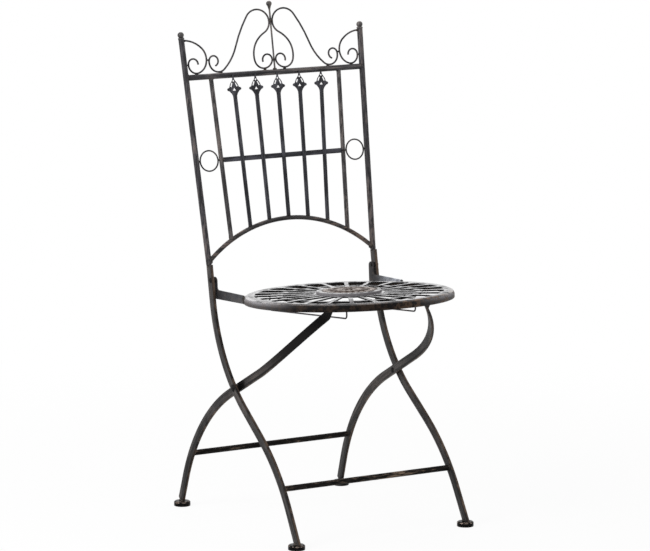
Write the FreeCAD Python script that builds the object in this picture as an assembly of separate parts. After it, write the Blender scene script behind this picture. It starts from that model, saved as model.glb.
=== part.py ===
import FreeCAD
import Part
import math
import os

from FreeCAD import Placement, Rotation, Vector

# Folding garden chair of round tube, flat bar and wire, with a cast openwork seat.
# Millimetres and degrees. The chair stands on Z = 0, the sitter faces -Y and +X is the
# sitter's left. The origin is on the floor, under the middle of the chair.

# Clearances
WELD_GAP = 0.05
PRESSED_FIT = 0.05
RUNNING_FIT = 0.08
SIDE_PLAY = 0.1

# Back plane: it leans backwards and meets the floor at this depth
BACK_LEAN = 10.0
BACK_FOOT_Y = 52.1

# Radius of the seat, which sets how wide the whole chair is
SEAT_R = 198.5

# The front legs stand this far inside the seat's edge and the rear feet inside them
LEG_INSET = 14.5
REAR_FOOT_INSET = 2.7

# Round bar of the uprights and the top rail, and the knobs on top of the uprights
BAR_D = 11.0
UPRIGHT_LOW_S = 496.0
UPRIGHT_HIGH_S = 926.0
UPRIGHT_SPREAD = 15.7
KNOB_D = 12.6
KNOB_CENTRE = 7.2
COLLAR_D = 12.4
COLLAR_H = 1.6
KNOB_NECK_D = 7.6
KNOB_TOP_ANGLE = 80.0

# Rails, arch and outer balusters of the back
RAIL_S = 852.6
BALUSTER_D = 8.5
BALUSTER_TOP_INSET = 56.7
BALUSTER_FOOT_INSET = 53.7
ARCH_CROWN_S = 571.8
ARCH_FOOT_S = 500.6
MID_RAIL_S = 692.6
MID_RAIL_H = 9.5
MID_RAIL_T = 3.0
RING_WIRE = 3.0
RING_D = 39.0
RING_STUD = 3.4

# Spears: flat bars that stand on the arch, with pierced heads that lap over the top rail
SPEAR_T = 2.0
SPEAR_W = 8.0
SPEAR_TOP_PITCH = 49.2
SPEAR_FOOT_PITCH = 43.2
SPEAR_TIP_S = 852.5
SPEAR_FOOT_FORWARD = 1.5

# Crest wires: bends as (radius, turn), where a negative turn is clockwise from the front.
# They are drawn for a back of this half width, and grow and shrink with it
CREST_WIRE = 3.5
CREST_SPAN = 199.7
SCROLL_REACH = 126.95
SCROLL_RISE = 12.45
SCROLL_HEADING = 161.6
SCROLL_BENDS = [
    (9.8, -240.1),
    (19.5, -142.2),
    (102.8, -28.6),
    (258.3, 14.2),
    (27.5, 100.2),
    (23.1, 106.8),
    (61.0, -17.7),
    (45.9, -55.9),
    (20.1, -142.4),
    (10.6, -225.5),
]
CORNER_INSET = 6.1
CORNER_DROP = 2.4
CORNER_HEADING = 183.4
CORNER_BENDS = [
    (56.0, 41.2),
    (29.4, 63.1),
    (26.0, 56.3),
    (16.6, 114.0),
    (10.5, 176.7),
]
ROD_D = 3.4
BUD_D = 11.0
BUD_CENTRE_S = 979.8
BUD_TOP_S = 990.0
BUD_TIP_D = 1.6

# Flat bar of all four legs
FLAT_T = 5.5
FRONT_FLAT_W = 15.5
REAR_FLAT_W = 16.4

# Front legs, from the end of the upright down to the foot, in the side view
FRONT_LEG_FORWARD = 1.9
FRONT_UPPER_RUN = 68.3
FRONT_KNEE_R = 304.2
FRONT_KNEE_TURN = -43.4
FRONT_MIDDLE_RUN = 71.7
FRONT_ANKLE_R = 383.1
FRONT_ANKLE_TURN = 24.3
FRONT_SPLAY_Z = 250.0
FRONT_SPLAY_R = 2000.0
FRONT_SPLAY = 0.76

# Rear legs, from the foot up to the slide bar, in the side view
REAR_FOOT_Y = 254.2
REAR_FOOT_LEAN = 17.9
REAR_LOWER_RUN = 51.1
REAR_KNEE_R = 331.6
REAR_KNEE_TURN = 44.6
REAR_MIDDLE_RUN = 111.6
REAR_HIP_R = 393.3
SLIDE_BAR_Z = 441.0

# The rear legs bend inwards on the flat, seen square to a plane that leans forward
INWARD_LEAN = 45.0
REAR_SPLAY = 1.44
REAR_STRAIGHT = 424.6
REAR_INWARD_R = 280.0
REAR_INWARD_TURN = 37.0
REAR_TOP_BEND = 8.0

# Feet and cross bars
FOOT_D = 32.0
FOOT_H = 9.5
FOOT_CHAMFER = 1.8
FOOT_SETBACK = 2.9
CROSS_BAR_D = 11.0
FRONT_CROSS_Z = 104.0
REAR_CROSS_Z = 109.6

# Scissor pivot between the legs
SCISSOR_Z = 265.6
SCISSOR_PIN_D = 7.0
SCISSOR_HEAD_D = 14.0
SCISSOR_HEAD_H = 3.0
SPACER_D = 15.0
# Widths of a rivet head half-way up and at its top, as parts of its full width
RIVET_SHOULDER = 0.9
RIVET_CROWN = 0.5

# Seat: its centre on the plane of the rim, and its rise towards the front
SEAT_Y = -68.4
SEAT_Z = 448.9
SEAT_RISE = 3.63
SKIRT_H = 14.0
SKIRT_T = 4.0
RIM_ROUND = 7.0
PLATE_T = 3.0
STRAPS = 24
STRAP_W = 8.0
SLOT_INNER_R = 67.0
RIM_W = 20.0
SLOT_CHAMFER = 7.0
HOOP_R = 132.0
HOOP_W = 12.0
HOOP_TOP = -1.5
HOOP_LOW = -5.5
BOSS_R = 62.0
BOSS_H = 4.8
BOSS_CHAMFER = 1.5
MEDALLION_R = 37.0
MEDALLION_TOP = 7.4
MEDALLION_CHAMFER = 1.8
MEDALLION_GROOVE_R = 29.0
MEDALLION_CENTRE_R = 6.0

# Seat pivots and the brackets that hang from them
SEAT_PIVOT_Z = 460.0
SEAT_PIVOT_FORWARD = 2.2
SEAT_PIN_D = 6.0
SEAT_HEAD_D = 10.0
SEAT_HEAD_H = 2.6
SEAT_SPACER_D = 9.0
SEAT_SPACER_T = 3.9
BRACKET_T = 3.0
EAR_W = 16.0
EAR_BACK = 1.9
EAR_RISE = 6.2
ARM_TOP_REAR_H = 5.2
ARM_TOP_FRONT_H = 2.0
ARM_LOW_REAR_H = -12.2
ARM_LOW_FRONT_H = -14.0
BRACKET_ROUND = 6.0

# Guide wires under the seat and the bar that slides in them
SLIDE_BAR_D = 8.0
SLIDE_END_PLAY = 0.75
GUIDE_WIRE = 3.0
GUIDE_X = 75.5
GUIDE_SLOPE = 1.42
GUIDE_FRONT_V = -111.5
GUIDE_FRONT_H = -33.5
GUIDE_LENGTH = 277.2
GUIDE_BEND = 6.0

# Small round sections and bends are built from flat faces: how many sides a section has,
# and how far a straight facet may leave its curve
WIRE_SIDES = 4
ARCH_SIDES = 8
SMALL_SIDES = 12
RING_SIDES = 22
FOOT_SIDES = 24
MEDALLION_SIDES = 36
SEAT_SIDES = 72
FACET_SAG = 0.2

FRONT_LEG_X = SEAT_R - LEG_INSET
REAR_FOOT_X = FRONT_LEG_X - REAR_FOOT_INSET
UPRIGHT_HIGH_X = FRONT_LEG_X + UPRIGHT_SPREAD
BALUSTER_TOP_X = UPRIGHT_HIGH_X - BALUSTER_TOP_INSET
BALUSTER_FOOT_X = FRONT_LEG_X - BALUSTER_FOOT_INSET
BAR_R = BAR_D / 2
BALUSTER_R = BALUSTER_D / 2
# Longer than any distance in the chair, for bodies that only cut or trim
BEYOND = 1000.0
X_AXIS = Vector(1, 0, 0)
Y_AXIS = Vector(0, 1, 0)
UP = Vector(0, 0, 1)
ORIGIN = Vector(0, 0, 0)

# In the back plane a point is (x, s, w): s runs up the plane and w comes out of its front
BACK = Placement(Vector(0, BACK_FOOT_Y, 0), Rotation(X_AXIS, 90 - BACK_LEAN))
# In the seat a point is (x, v, h): v runs to the rear of the seat and h stands up from it
SEAT = Placement(Vector(0, SEAT_Y, SEAT_Z), Rotation(X_AXIS, -SEAT_RISE))
# Stands a drawing up: its two coordinates become Y and Z, or X and Z
SIDE_VIEW = Placement(ORIGIN, Rotation(Y_AXIS, UP, X_AXIS, "XYZ"))
FRONT_VIEW = Placement(ORIGIN, Rotation(X_AXIS, 90))
# The plane that leans forward from the rear feet: a point is (x, u, w), u runs up the plane
INWARD = Placement(Vector(0, REAR_FOOT_Y, FOOT_H), Rotation(X_AXIS, 90 + INWARD_LEAN))


class Route:
    """A plane route of straight runs and tangent bends."""

    def __init__(self, start, heading):
        self.here = Vector(start[0], start[1], 0)
        self.heading = math.radians(heading)
        self.steps = []

    def ahead(self):
        return Vector(math.cos(self.heading), math.sin(self.heading), 0)

    def left(self):
        return Vector(-math.sin(self.heading), math.cos(self.heading), 0)

    def run(self, length):
        end = self.here + self.ahead() * length
        self.steps.append(("run", self.here, self.left(), end, None, 0))
        self.here = end
        return self

    def bend(self, radius, turn):
        side = 1 if turn > 0 else -1
        centre = self.here + self.left() * radius * side
        self.steps.append(("bend", self.here, self.left(), None, centre, turn))
        self.here = centre + Rotation(UP, turn).multVec(self.here - centre)
        self.heading += math.radians(turn)
        return self

    def bend_back_to(self, radius, height):
        """Bend clockwise until the second coordinate reaches this height."""
        rise = height - self.here.y
        heading = math.acos(math.cos(self.heading) + rise / radius)
        return self.bend(radius, math.degrees(heading - self.heading))

    def run_to(self, coordinate, value):
        """Run straight on until x (0) or y (1) reaches the value."""
        return self.run((value - self.here[coordinate]) / self.ahead()[coordinate])

    def edges(self, offset):
        """The route's edges, moved sideways to its left by the offset."""
        moved = []
        for kind, start, left, end, centre, turn in self.steps:
            first = start + left * offset
            if kind == "run":
                moved.append(Part.LineSegment(first, end + left * offset).toShape())
            else:
                middle = centre + Rotation(UP, turn / 2).multVec(first - centre)
                last = centre + Rotation(UP, turn).multVec(first - centre)
                moved.append(Part.Arc(first, middle, last).toShape())
        return moved

    def facets(self):
        """Points along the route with the direction to their left, scaled for a mitre."""
        points = [(self.steps[0][1], self.steps[0][2])]
        for kind, start, left, end, centre, turn in self.steps:
            if kind == "run":
                points.append((end, left))
                continue
            radius = (start - centre).Length
            count = math.ceil(abs(turn) / math.degrees(2 * math.acos(1 - FACET_SAG / radius)))
            for i in range(1, count + 1):
                spin = Rotation(UP, turn * i / count)
                points.append((centre + spin.multVec(start - centre), spin.multVec(left)))
        return points

    def strip(self, width):
        """The face that a band of this width covers along the route."""
        near = self.edges(-width / 2)
        far = self.edges(width / 2)
        first_gap = Part.LineSegment(near[0].Vertexes[0].Point, far[0].Vertexes[0].Point)
        last_gap = Part.LineSegment(near[-1].Vertexes[-1].Point, far[-1].Vertexes[-1].Point)
        loop = Part.__sortEdges__(near + far + [first_gap.toShape(), last_gap.toShape()])
        return Part.Face(Part.Wire(loop))

    def height_point(self, height):
        """The point where the route passes this second coordinate."""
        line = Part.Wire(self.edges(0))
        level = Part.makeLine(Vector(-BEYOND, height, 0), Vector(BEYOND, height, 0))
        return line.distToShape(level)[1][0][0]


def bent_wire(route, diameter, sides):
    """A wire of many-sided section along a plane route, mitred from straight facets."""
    corner = diameter / 2 / math.cos(math.pi / sides)
    rings = []
    for point, left in route.facets():
        ring = []
        for i in range(sides + 1):
            angle = 2 * math.pi * (i % sides + 0.5) / sides
            ring.append(point + left * corner * math.cos(angle) + UP * corner * math.sin(angle))
        rings.append(ring)
    return skinned(rings)


def skinned(rings):
    """A solid between closed rings of points, with flat faces from each to the next."""
    faces = [Part.Face(Part.makePolygon(ring)) for ring in (rings[0], rings[-1])]
    for low, high in zip(rings, rings[1:]):
        for i in range(len(low) - 1):
            loop = [low[i], low[i + 1], high[i + 1], high[i], low[i]]
            faces.append(Part.Face(Part.makePolygon(loop)))
    return closed_solid(faces)


def closed_solid(faces):
    shell = Part.makeShell(faces)
    shell.sewShape()
    solid = Part.makeSolid(shell)
    if solid.Volume < 0:
        solid.reverse()
    return solid


def rod(start, end, diameter):
    return Part.makeCylinder(diameter / 2, (end - start).Length, start, end - start)


def many_sided(outline, sides):
    """A small turned piece with flat sides, from its (r, z) points bottom to top."""
    rings = []
    for r, z in outline:
        corners = []
        for i in range(sides + 1):
            angle = 2 * math.pi * (i % sides) / sides
            corners.append(Vector(r * math.cos(angle), r * math.sin(angle), z))
        rings.append(corners)
    return skinned(rings)


def ball_points(centre_z, radius, start_angle, end_angle, bands):
    """Outline points along a ball on the axis, by angles up from its equator."""
    points = []
    for i in range(bands + 1):
        angle = math.radians(start_angle + (end_angle - start_angle) * i / bands)
        points.append((radius * math.cos(angle), centre_z + radius * math.sin(angle)))
    return points


def placed(shape, placement):
    moved = shape.copy()
    moved.Placement = placement.multiply(moved.Placement)
    return moved


def mirrored(shape):
    return shape.mirror(ORIGIN, X_AXIS)


def both_sides(shape):
    """One node that holds the piece of each side."""
    return Part.makeCompound([shape, mirrored(shape)])


def side_prism(face, low_x, high_x):
    """Extrude a face drawn as (y, z) along X."""
    prism = placed(face, SIDE_VIEW).extrude(X_AXIS * (high_x - low_x))
    prism.translate(X_AXIS * low_x)
    return prism


def front_prism(face):
    """Extrude a face drawn as (x, z) along Y, through the whole chair."""
    prism = placed(face, FRONT_VIEW).extrude(Y_AXIS * 2 * BEYOND)
    prism.translate(Y_AXIS * -BEYOND)
    return prism


def upright_slope():
    return (UPRIGHT_HIGH_X - FRONT_LEG_X) / (UPRIGHT_HIGH_S - UPRIGHT_LOW_S)


def upright_x(s):
    """The x of the left upright's axis at a place along the back plane."""
    return FRONT_LEG_X + upright_slope() * (s - UPRIGHT_LOW_S)


def baluster_x(s):
    slope = (BALUSTER_TOP_X - BALUSTER_FOOT_X) / (RAIL_S - arch_s(BALUSTER_FOOT_X))
    return BALUSTER_TOP_X + slope * (s - RAIL_S)


def arch_radius():
    rise = ARCH_CROWN_S - ARCH_FOOT_S
    half_span = upright_x(ARCH_FOOT_S)
    return (half_span ** 2 + rise ** 2) / (2 * rise)


def arch_s(x):
    radius = arch_radius()
    return ARCH_CROWN_S - radius + math.sqrt(radius ** 2 - x ** 2)


# Back frame, in the back plane's own coordinates

def upright_line():
    return Vector(FRONT_LEG_X, UPRIGHT_LOW_S, 0), Vector(UPRIGHT_HIGH_X, UPRIGHT_HIGH_S, 0)


def upright():
    low, high = upright_line()
    return rod(low, high, BAR_D)


def upright_room():
    """Both uprights with the weld gap round them, to fit other pieces to."""
    low, high = upright_line()
    left = rod(low, high, BAR_D + 2 * WELD_GAP)
    return left.fuse(mirrored(left))


def knob():
    """Collar and ball on the end of an upright, in the upright's own direction."""
    low, high = upright_line()
    collar_r = COLLAR_D / 2
    neck_angle = math.degrees(math.acos(KNOB_NECK_D / KNOB_D))
    disc = [(collar_r, WELD_GAP), (collar_r, COLLAR_H)]
    ball = ball_points(KNOB_CENTRE, KNOB_D / 2, -neck_angle, KNOB_TOP_ANGLE, 6)
    body = many_sided(disc + ball, SMALL_SIDES)
    return placed(body, Placement(high, Rotation(UP, high - low)))


def rail_room():
    """The top rail as a rod with the weld gap round it."""
    return rod(Vector(-UPRIGHT_HIGH_X, RAIL_S, 0), Vector(UPRIGHT_HIGH_X, RAIL_S, 0), BAR_D + 2 * WELD_GAP)


def top_rail():
    start = Vector(-upright_x(RAIL_S), RAIL_S, 0)
    end = Vector(upright_x(RAIL_S), RAIL_S, 0)
    return middle_piece(rod(start, end, BAR_D).cut(upright_room()))


def arch_ring(diameter):
    """The arch as a bent rod from one upright's axis to the other's."""
    radius = arch_radius()
    half_angle = math.degrees(math.asin(upright_x(ARCH_FOOT_S) / radius))
    start = Vector(upright_x(ARCH_FOOT_S), ARCH_FOOT_S, 0)
    route = Route(start, 90 + 90 - half_angle)
    route.bend(radius, 2 * half_angle)
    return bent_wire(route, diameter, ARCH_SIDES)


def back_arch():
    return middle_piece(arch_ring(BALUSTER_D).cut(upright_room()))


def middle_piece(shape):
    """The largest solid that a cut leaves."""
    return max(shape.Solids, key=lambda solid: solid.Volume)


def outer_baluster():
    foot = Vector(BALUSTER_FOOT_X, arch_s(BALUSTER_FOOT_X), 0)
    top = Vector(BALUSTER_TOP_X, RAIL_S, 0)
    bar = rod(foot, top, BALUSTER_D)
    return middle_piece(bar.cut([rail_room(), arch_ring(BALUSTER_D + 2 * WELD_GAP)]))


def baluster_room():
    foot = Vector(BALUSTER_FOOT_X, arch_s(BALUSTER_FOOT_X), 0)
    left = rod(foot, Vector(BALUSTER_TOP_X, RAIL_S, 0), BALUSTER_D + 2 * WELD_GAP)
    return left.fuse(mirrored(left))


def spear_forward(s):
    """How far a spear's middle stands in front of the back plane."""
    top = BAR_R + WELD_GAP + SPEAR_T / 2
    slope = (top - SPEAR_FOOT_FORWARD) / (RAIL_S - ARCH_CROWN_S)
    return SPEAR_FOOT_FORWARD + slope * (s - ARCH_CROWN_S)


def mid_rail():
    reach = baluster_x(MID_RAIL_S)
    front = spear_forward(MID_RAIL_S - MID_RAIL_H / 2) - SPEAR_T / 2 - 2 * WELD_GAP
    corner = Vector(-reach, MID_RAIL_S - MID_RAIL_H / 2, front - MID_RAIL_T)
    bar = Part.makeBox(2 * reach, MID_RAIL_H, MID_RAIL_T, corner)
    return middle_piece(bar.cut(baluster_room()))


def side_ring():
    """Wire ring between upright and outer baluster, with a stud to each of them."""
    inner_x = baluster_x(MID_RAIL_S)
    outer_x = upright_x(MID_RAIL_S)
    gap_low = inner_x + BALUSTER_R
    gap_high = outer_x - BAR_R
    low = Vector((gap_low + gap_high) / 2, MID_RAIL_S, -RING_WIRE / 2)
    corner = Vector(inner_x, MID_RAIL_S - RING_STUD / 2, low.z)
    stud = Part.makeBox(outer_x - inner_x, RING_STUD, RING_WIRE, corner)
    outer_r = (RING_D + RING_WIRE) / 2
    inner_r = (RING_D - RING_WIRE) / 2
    disc = many_sided([(outer_r, 0), (outer_r, RING_WIRE)], RING_SIDES).translated(low)
    eye = many_sided([(inner_r, 0), (inner_r, RING_WIRE)], RING_SIDES).translated(low)
    body = disc.fuse(stud).cut(eye)
    return middle_piece(body.cut([baluster_room(), upright_room()]))


def spear_head_half():
    """Right half of the head's outline: (distance from the middle, distance below the tip)."""
    return [
        (1.2, 0.0),
        (1.3, 5.5),
        (2.6, 10.5),
        (8.0, 17.5),
        (10.3, 23.5),
        (14.6, 25.3),
        (15.6, 27.6),
        (14.0, 29.6),
        (10.6, 31.0),
        (6.2, 36.0),
        (4.3, 40.5),
        (SPEAR_W / 2, 45.0),
    ]


def closed_face(points):
    corners = [Vector(x, s, 0) for x, s in points]
    return Part.Face(Part.makePolygon(corners + [corners[0]]))


def spear_openings():
    """Diamond, two slots and a triangle: (distance from the middle, distance below the tip)."""
    diamond = [(0, -8.8), (2.35, -11.5), (0, -14.1), (-2.35, -11.5)]
    triangle = [(0, -24.5), (3.7, -30.2), (-3.7, -30.2)]
    slot = [(2.2, -15.7), (5.1, -14.0), (8.5, -22.2), (5.4, -23.2)]
    mirrored_slot = [(-x, s) for x, s in slot]
    return [closed_face(points) for points in (diamond, triangle, slot, mirrored_slot)]


def spear(index):
    """Flat spear bar number -2 to 2, counted towards the sitter's left."""
    tip_x = index * SPEAR_TOP_PITCH
    foot_x = index * SPEAR_FOOT_PITCH
    foot_s = arch_s(foot_x)
    length = math.hypot(tip_x - foot_x, SPEAR_TIP_S - foot_s)
    half = [(x, -below) for x, below in spear_head_half()] + [(SPEAR_W / 2, -length)]
    outline = half + [(-x, s) for x, s in reversed(half)]
    flat = closed_face(outline).cut(spear_openings())
    blade = flat.extrude(UP * SPEAR_T)
    blade.translate(UP * -SPEAR_T / 2)
    lean = math.degrees(math.atan2(spear_forward(SPEAR_TIP_S) - spear_forward(foot_s), length))
    blade.rotate(ORIGIN, X_AXIS, lean)
    blade.rotate(ORIGIN, UP, -math.degrees(math.atan2(tip_x - foot_x, SPEAR_TIP_S - foot_s)))
    blade.translate(Vector(tip_x, SPEAR_TIP_S, spear_forward(SPEAR_TIP_S)))
    return middle_piece(blade.cut(arch_ring(BALUSTER_D + 2 * WELD_GAP)))


def crest_scale():
    return UPRIGHT_HIGH_X / CREST_SPAN


def crest_scroll():
    """Scroll between the crest rod and the corner scroll, seated on the top rail."""
    rod_side = (ROD_D + CREST_WIRE) / 2
    rail_top = RAIL_S + BAR_R + CREST_WIRE / 2
    start_x = rod_side + SCROLL_REACH * crest_scale()
    route = Route((start_x, rail_top + SCROLL_RISE * crest_scale()), SCROLL_HEADING)
    for radius, turn in SCROLL_BENDS:
        route.bend(radius * crest_scale(), turn)
    return bent_wire(route, CREST_WIRE, WIRE_SIDES)


def corner_scroll():
    route = Route((UPRIGHT_HIGH_X - CORNER_INSET, UPRIGHT_HIGH_S - CORNER_DROP), CORNER_HEADING)
    for radius, turn in CORNER_BENDS:
        route.bend(radius * crest_scale(), turn)
    return middle_piece(bent_wire(route, CREST_WIRE, WIRE_SIDES).cut(upright_room()))


def crest_rod():
    """Straight rod on the middle of the top rail that ends in a bud."""
    rod_r = ROD_D / 2
    bud_r = BUD_D / 2
    foot = RAIL_S + BAR_R - rod_r
    neck_angle = math.degrees(math.acos(rod_r / bud_r))
    shoulder = math.degrees(math.asin((bud_r - BUD_TIP_D / 2) / (BUD_TOP_S - BUD_CENTRE_S)))
    bud = ball_points(BUD_CENTRE_S, bud_r, -neck_angle, shoulder, 6)
    body = many_sided([(rod_r, foot)] + bud + [(BUD_TIP_D / 2, BUD_TOP_S)], SMALL_SIDES)
    body.rotate(ORIGIN, X_AXIS, -90)
    return middle_piece(body.cut(rail_room()))


# Front legs

def front_leg_route():
    """Side view of the left front leg as (y, z), from the upright's end to the floor."""
    top_s = UPRIGHT_LOW_S - WELD_GAP - BAR_R * upright_slope()
    start = BACK.multVec(Vector(0, top_s, FRONT_LEG_FORWARD))
    route = Route((start.y, start.z), 270 - BACK_LEAN)
    route.run(FRONT_UPPER_RUN).bend(FRONT_KNEE_R, FRONT_KNEE_TURN)
    route.run(FRONT_MIDDLE_RUN).bend(FRONT_ANKLE_R, FRONT_ANKLE_TURN)
    return route.run_to(1, -FLAT_T)


def front_leg_strip(extra=0):
    """Front view of the left front leg as (x, z): straight, then splayed."""
    route = Route((FRONT_LEG_X, UPRIGHT_LOW_S + FLAT_T), 270)
    route.run_to(1, FRONT_SPLAY_Z)
    route.bend(FRONT_SPLAY_R, FRONT_SPLAY)
    route.run_to(1, -FLAT_T)
    return front_prism(route.strip(FLAT_T + 2 * extra))


def above_feet(shape):
    """Keep what is above the top of the foot discs."""
    corner = Vector(-BEYOND, -BEYOND, FOOT_H + WELD_GAP)
    keep = Part.makeBox(2 * BEYOND, 2 * BEYOND, 2 * BEYOND, corner)
    return shape.common(keep)


def pin_hole(centre, diameter):
    """A cylinder along X through the whole left side."""
    return rod(centre, centre + X_AXIS * BEYOND, diameter)


def front_leg():
    side = side_prism(front_leg_route().strip(FRONT_FLAT_W), 0, BEYOND)
    leg = above_feet(side.common(front_leg_strip()))
    holes = [
        pin_hole(scissor_point(), SCISSOR_PIN_D + 2 * PRESSED_FIT),
        pin_hole(seat_pivot(), SEAT_PIN_D + 2 * PRESSED_FIT),
    ]
    return middle_piece(leg.cut(holes))


def scissor_point():
    """Where the legs cross, on the chair's middle plane."""
    place = front_leg_route().height_point(SCISSOR_Z)
    return Vector(0, place.x, place.y)


def seat_pivot():
    place = front_leg_route().height_point(SEAT_PIVOT_Z)
    return Vector(0, place.x - SEAT_PIVOT_FORWARD, place.y)


def cross_bar(side_route, height, strip_room):
    """Round bar between the two legs of a frame, fitted to their inner faces."""
    place = side_route.height_point(height)
    reach = X_AXIS * FRONT_LEG_X
    centre = Vector(0, place.x, place.y)
    bar = rod(centre - reach, centre + reach, CROSS_BAR_D)
    return bar.cut([strip_room, mirrored(strip_room)])


def front_cross_bar():
    bar = cross_bar(front_leg_route(), FRONT_CROSS_Z, front_leg_strip(WELD_GAP))
    return middle_piece(bar)


def foot_disc(x, y):
    radius = FOOT_D / 2
    disc = many_sided([
        (radius, 0),
        (radius, FOOT_H - FOOT_CHAMFER),
        (radius - FOOT_CHAMFER, FOOT_H),
    ], FOOT_SIDES)
    return disc.translated(Vector(x, y, 0))


def front_feet():
    place = front_leg_route().height_point(FOOT_H)
    splay_run = (FRONT_SPLAY_Z - FOOT_H) * math.tan(math.radians(FRONT_SPLAY))
    return both_sides(foot_disc(FRONT_LEG_X + splay_run, place.x + FOOT_SETBACK))


# Rear legs

def rear_leg_route():
    """Side view of the left rear leg as (y, z), from the foot up to the slide bar."""
    route = Route((REAR_FOOT_Y, FOOT_H), 90 + REAR_FOOT_LEAN)
    route.run(REAR_LOWER_RUN).bend(REAR_KNEE_R, REAR_KNEE_TURN).run(REAR_MIDDLE_RUN)
    return route.bend_back_to(REAR_HIP_R, SLIDE_BAR_Z)


def slide_point():
    """Axis of the slide bar at rest, on the chair's middle plane."""
    top = rear_leg_route().here
    return Vector(0, top.x, top.y)


def inward_route():
    """The left rear leg on the leaning plane, up to the bend that sets its end straight."""
    route = Route((REAR_FOOT_X, 0), 90 + REAR_SPLAY)
    route.run(REAR_STRAIGHT).bend(REAR_INWARD_R, REAR_INWARD_TURN)
    return route.bend(REAR_TOP_BEND, -(REAR_SPLAY + REAR_INWARD_TURN))


def rear_leg_strip(extra=0):
    face = inward_route().run(2 * REAR_FLAT_W).strip(FLAT_T + 2 * extra)
    face.translate(UP * -BEYOND)
    return placed(face.extrude(UP * 2 * BEYOND), INWARD)


def rear_leg():
    side = side_prism(rear_leg_route().strip(REAR_FLAT_W), 0, BEYOND)
    side = side.fuse(rod(slide_point(), slide_point() + X_AXIS * BEYOND, REAR_FLAT_W))
    leg = above_feet(side.common(rear_leg_strip()))
    return middle_piece(leg.cut(pin_hole(scissor_point(), SCISSOR_PIN_D + 2 * RUNNING_FIT)))


def rear_cross_bar():
    return middle_piece(cross_bar(rear_leg_route(), REAR_CROSS_Z, rear_leg_strip(WELD_GAP)))


def rear_feet():
    return both_sides(foot_disc(REAR_FOOT_X, REAR_FOOT_Y - FOOT_SETBACK))


def rear_face_x(point, side):
    """Outer (+1) or inner (-1) face of the left rear leg at a point of its straight part."""
    along = INWARD.inverse().multVec(point).y
    return REAR_FOOT_X - along * math.tan(math.radians(REAR_SPLAY)) + side * FLAT_T / 2


# Pins, spacers and washers, turned about an axis along X

def along_x(body, centre, x):
    """Lay a turned body's Z axis along +X with its zero at this x."""
    return placed(body, Placement(Vector(x, centre.y, centre.z), Rotation(UP, X_AXIS)))


def rivet(pin_d, head_d, head_h, grip):
    """Rivet with a raised head on the outside and a peened end inside. Its grip starts at z = 0."""
    pin_r = pin_d / 2
    head_r = head_d / 2
    peened_r = (pin_r + head_r) / 2
    return many_sided([
        (pin_r, -head_h / 2),
        (peened_r, 0),
        (pin_r, 0),
        (pin_r, grip),
        (head_r, grip),
        (head_r * RIVET_SHOULDER, grip + head_h / 2),
        (head_r * RIVET_CROWN, grip + head_h),
    ], SMALL_SIDES)


def collar(outer_d, bore_d, length):
    outer = many_sided([(outer_d / 2, 0), (outer_d / 2, length)], SMALL_SIDES)
    bore_r = bore_d / 2
    return outer.cut(many_sided([(bore_r, 0), (bore_r, length)], SMALL_SIDES))


def scissor_tilt():
    """Room for the slanted face of the rear leg under a flat head."""
    return SPACER_D / 2 * math.sin(math.radians(REAR_SPLAY)) + SIDE_PLAY


def scissor_rivets():
    centre = scissor_point()
    inner_x = rear_face_x(centre, -1) - scissor_tilt()
    outer_x = FRONT_LEG_X + FLAT_T / 2 + WELD_GAP
    body = rivet(SCISSOR_PIN_D, SCISSOR_HEAD_D, SCISSOR_HEAD_H, outer_x - inner_x)
    return both_sides(along_x(body, centre, inner_x))


def scissor_spacers():
    centre = scissor_point()
    inner_x = rear_face_x(centre, 1) + scissor_tilt()
    outer_x = FRONT_LEG_X - FLAT_T / 2 - WELD_GAP
    body = collar(SPACER_D, SCISSOR_PIN_D + 2 * PRESSED_FIT, outer_x - inner_x)
    return both_sides(along_x(body, centre, inner_x))


def seat_spacers():
    """Rings on the seat rivets that hold the brackets off the legs."""
    inner_x = bracket_outer_x() + SIDE_PLAY
    body = collar(SEAT_SPACER_D, SEAT_PIN_D + 2 * PRESSED_FIT, SEAT_SPACER_T)
    return both_sides(along_x(body, seat_pivot(), inner_x))


def bracket_outer_x():
    return FRONT_LEG_X - FLAT_T / 2 - WELD_GAP - SEAT_SPACER_T - SIDE_PLAY


def seat_rivets():
    centre = seat_pivot()
    inner_x = bracket_outer_x() - BRACKET_T - SIDE_PLAY
    outer_x = FRONT_LEG_X + FLAT_T / 2 + WELD_GAP
    body = rivet(SEAT_PIN_D, SEAT_HEAD_D, SEAT_HEAD_H, outer_x - inner_x)
    return both_sides(along_x(body, centre, inner_x))


# Seat, in the seat's own coordinates

def seat_slot():
    """Opening between two straps, with its outer corners cut off."""
    half_pitch = math.radians(180 / STRAPS)
    across = Vector(math.cos(half_pitch), -math.sin(half_pitch), 0)
    along = Vector(math.sin(half_pitch), math.cos(half_pitch), 0)
    edge = across * (-STRAP_W / 2)
    inner = edge + along * SLOT_INNER_R
    flank = edge + along * (SEAT_R - RIM_W - SLOT_CHAMFER)
    outer = edge + along * (SEAT_R - RIM_W) - across * SLOT_CHAMFER
    corners = [Vector(-p.x, p.y, 0) for p in (inner, flank, outer)]
    corners += [outer, flank, inner]
    return Part.Face(Part.makePolygon(corners + [corners[0]]))


def seat_slots():
    """Prisms that cut the openings between all the straps."""
    slot = seat_slot().extrude(UP * 4 * PLATE_T)
    slot.translate(UP * -2 * PLATE_T)
    slots = []
    for i in range(STRAPS):
        turned_slot = slot.copy()
        turned_slot.rotate(ORIGIN, UP, (i + 0.5) * 360 / STRAPS)
        slots.append(turned_slot)
    return slots


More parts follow.
